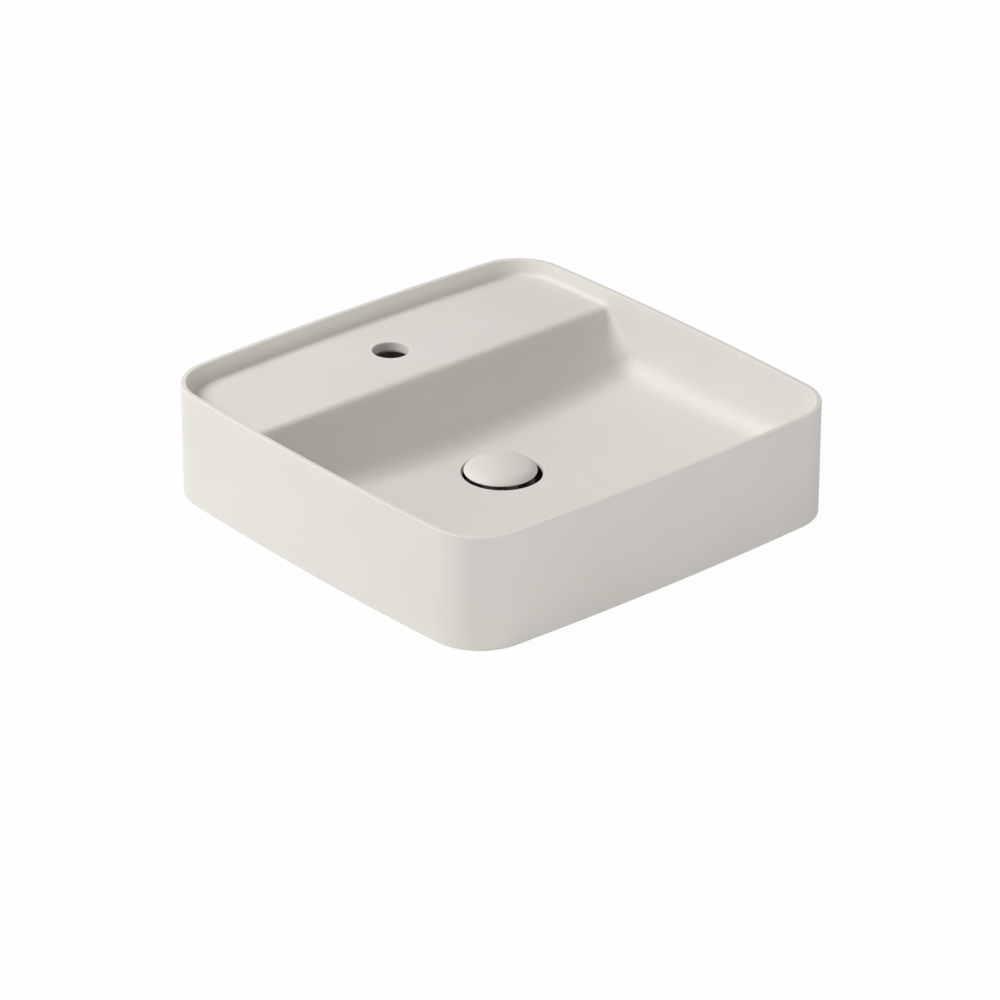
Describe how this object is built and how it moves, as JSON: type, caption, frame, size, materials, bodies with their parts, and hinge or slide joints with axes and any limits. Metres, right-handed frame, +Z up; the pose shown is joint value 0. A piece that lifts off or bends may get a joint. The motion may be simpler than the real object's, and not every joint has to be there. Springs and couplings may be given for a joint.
{
  "type": "countertop basin",
  "caption": "Square countertop wash basin with rounded corners, thin rim, rear tap ledge with a tap hole, and a push-to-close waste under a domed ceramic cap.",
  "frame": {"origin": "middle of the basin's base, on the counter plane", "axes": "+Z up, +Y to the wall behind the tap ledge, +X to the right of someone standing at the basin"},
  "size_m": [0.45, 0.453, 0.157],
  "materials": {
    "ceramic": "matt warm off-white glaze",
    "black_coat": "black coated brass",
    "brass": "plain turned brass",
    "carrier": "black moulded plastic",
    "steel": "plain stainless steel",
    "nylon": "natural nylon",
    "rubber": "black rubber"
  },
  "bodies": {
    "basin": {"basin_body": "ceramic", "waste_body": "black_coat", "flange_gasket": "rubber", "under_gasket": "rubber", "slip_washer": "nylon", "back_nut": "brass", "latch_barrel": "brass", "barrel_locknut": "brass", "barrel_guide": "brass", "latch_spring": "steel"},
    "plug": {"plug_cap": "ceramic", "cap_carrier": "carrier", "cap_seal": "rubber", "plug_stem": "steel", "stem_locknut": "steel", "rotor_clip": "steel"},
    "latch": {"latch_rotor": "nylon"}
  },
  "joints": [
    {"name": "plug_press", "type": "slide", "parent": "basin", "child": "plug", "axis": [0, 0, 1], "range_m": [-0.006, 0], "stiffness_N_per_m": 1200, "springref_m": 0.008, "deforming": ["latch_spring"]},
    {"name": "latch_turn", "type": "hinge", "parent": "plug", "child": "latch", "pos_m": [-0.0014, -0.0024, -0.013], "axis": [0, 0, 1], "range_deg": [0, 45]}
  ],
  "couplings": [
    {"joint": "latch_turn", "follows": "plug_press", "rad_per_m": -130.8}
  ]
}
